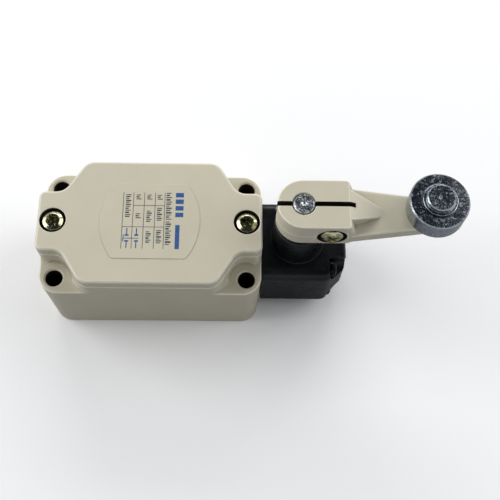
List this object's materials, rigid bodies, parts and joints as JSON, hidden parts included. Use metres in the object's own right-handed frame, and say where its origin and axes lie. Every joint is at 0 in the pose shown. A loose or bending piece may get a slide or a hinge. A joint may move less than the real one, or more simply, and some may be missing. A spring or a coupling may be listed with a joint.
{
  "type": "limit switch",
  "caption": "Rotary limit switch with an adjustable roller lever on a square head, a flat die-cast box, a screwed cover and a conduit entry.",
  "frame": {"origin": "centre of the four mounting holes on the box's back face, which is the mounting face", "axes": "+X from the conduit end through the head to the roller, +Z from the mounting face to the cover, +Y across the box"},
  "size_m": [0.1271, 0.04, 0.0577],
  "materials": {
    "painted_die_casting": "semi-gloss beige paint on die-cast aluminium",
    "black_head_finish": "black satin coating",
    "yellow_zinc": "yellow passivated zinc plate on steel",
    "blackened_steel": "black oxide on steel",
    "polished_steel": "bright turned and polished steel",
    "spring_steel": "plain drawn spring wire",
    "contact_brass": "plain brass strip",
    "sintered_bronze": "oil-filled sintered bronze",
    "nitrile_rubber": "black moulded nitrile",
    "brown_phenolic": "dark brown moulded phenolic",
    "natural_nylon": "natural moulded nylon"
  },
  "bodies": {
    "root": {"housing": "painted_die_casting", "cover": "painted_die_casting", "cover_gasket": "nitrile_rubber", "cover_screw_left": "yellow_zinc", "cover_screw_right": "yellow_zinc", "head": "black_head_finish", "head_gasket": "nitrile_rubber", "head_screw_1": "blackened_steel", "head_screw_2": "blackened_steel", "head_screw_3": "blackened_steel", "head_screw_4": "blackened_steel", "shaft_bushing": "sintered_bronze", "shaft_seal": "nitrile_rubber", "position_plate": "black_head_finish", "plunger_guide": "natural_nylon", "plunger_spring": "spring_steel", "switch_case": "brown_phenolic", "switch_case_lid": "brown_phenolic", "button_spring": "spring_steel", "case_screw_1": "yellow_zinc", "case_screw_2": "yellow_zinc", "earth_washer": "yellow_zinc", "earth_screw": "yellow_zinc", "terminal_open_front": "contact_brass", "wire_clamp_open_front": "yellow_zinc", "terminal_screw_open_front": "yellow_zinc", "terminal_open_back": "contact_brass", "wire_clamp_open_back": "yellow_zinc", "terminal_screw_open_back": "yellow_zinc", "terminal_closed_front": "contact_brass", "wire_clamp_closed_front": "yellow_zinc", "terminal_screw_closed_front": "yellow_zinc", "terminal_closed_back": "contact_brass", "wire_clamp_closed_back": "yellow_zinc", "terminal_screw_closed_back": "yellow_zinc"},
    "lever": {"shaft": "polished_steel", "cam": "polished_steel", "cam_pin": "spring_steel", "retaining_clip": "spring_steel", "lever": "painted_die_casting", "clamp_washer": "yellow_zinc", "clamp_screw": "yellow_zinc", "roller_pin": "polished_steel", "roller_washer": "polished_steel"},
    "roller": {"roller": "polished_steel"},
    "plunger": {"plunger": "polished_steel"},
    "button": {"switch_button": "natural_nylon", "contact_bridge": "contact_brass", "contact_spring": "spring_steel"}
  },
  "joints": [
    {"name": "lever_swing", "type": "hinge", "parent": "root", "child": "lever", "pos_m": [0.0455, 0, 0.045], "axis": [0, 0, 1], "range_deg": [-45, 45], "stiffness_Nm_per_rad": 0.9},
    {"name": "roller_spin", "type": "hinge", "parent": "lever", "child": "roller", "pos_m": [0.0843, 0, 0.0519], "axis": [0, 0, 1], "continuous": true},
    {"name": "plunger_slide", "type": "slide", "parent": "root", "child": "plunger", "axis": [-1, 0, 0], "range_m": [0, 0.0018], "stiffness_N_per_m": 1500, "springref_m": -0.002, "deforming": ["plunger_spring"]},
    {"name": "button_slide", "type": "slide", "parent": "root", "child": "button", "axis": [-1, 0, 0], "range_m": [0, 0.0018], "deforming": ["button_spring"]}
  ],
  "couplings": [
    {"joint": "button_slide", "follows": "plunger_slide", "ratio": 1}
  ]
}
